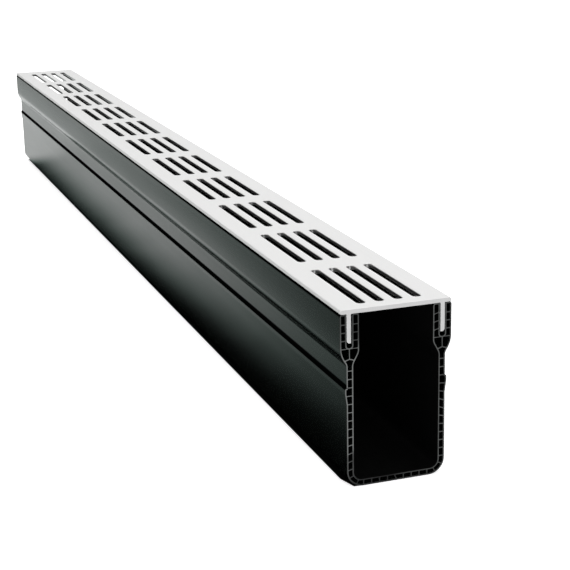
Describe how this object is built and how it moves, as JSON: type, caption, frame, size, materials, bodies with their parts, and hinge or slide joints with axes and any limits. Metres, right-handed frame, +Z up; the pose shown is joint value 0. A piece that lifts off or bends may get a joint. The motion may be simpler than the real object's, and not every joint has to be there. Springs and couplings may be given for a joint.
{
  "type": "channel drain",
  "caption": "One-metre linear drainage channel of twin-wall plastic, with hollow collars and a slotted metal grating whose legs sit in grooves along the rims.",
  "frame": {"origin": "middle of the channel's underside", "axes": "+Z up, +Y along the drain away from the end whose slots come closest to the edge, +X across it"},
  "size_m": [0.064, 1, 0.1],
  "materials": {
    "channel_plastic": "black extruded plastic, glossy skins and sawn ends",
    "grating_metal": "pale satin anodised, sawn ends"
  },
  "bodies": {
    "root": {"channel": "channel_plastic", "grating": "grating_metal"}
  },
  "joints": []
}
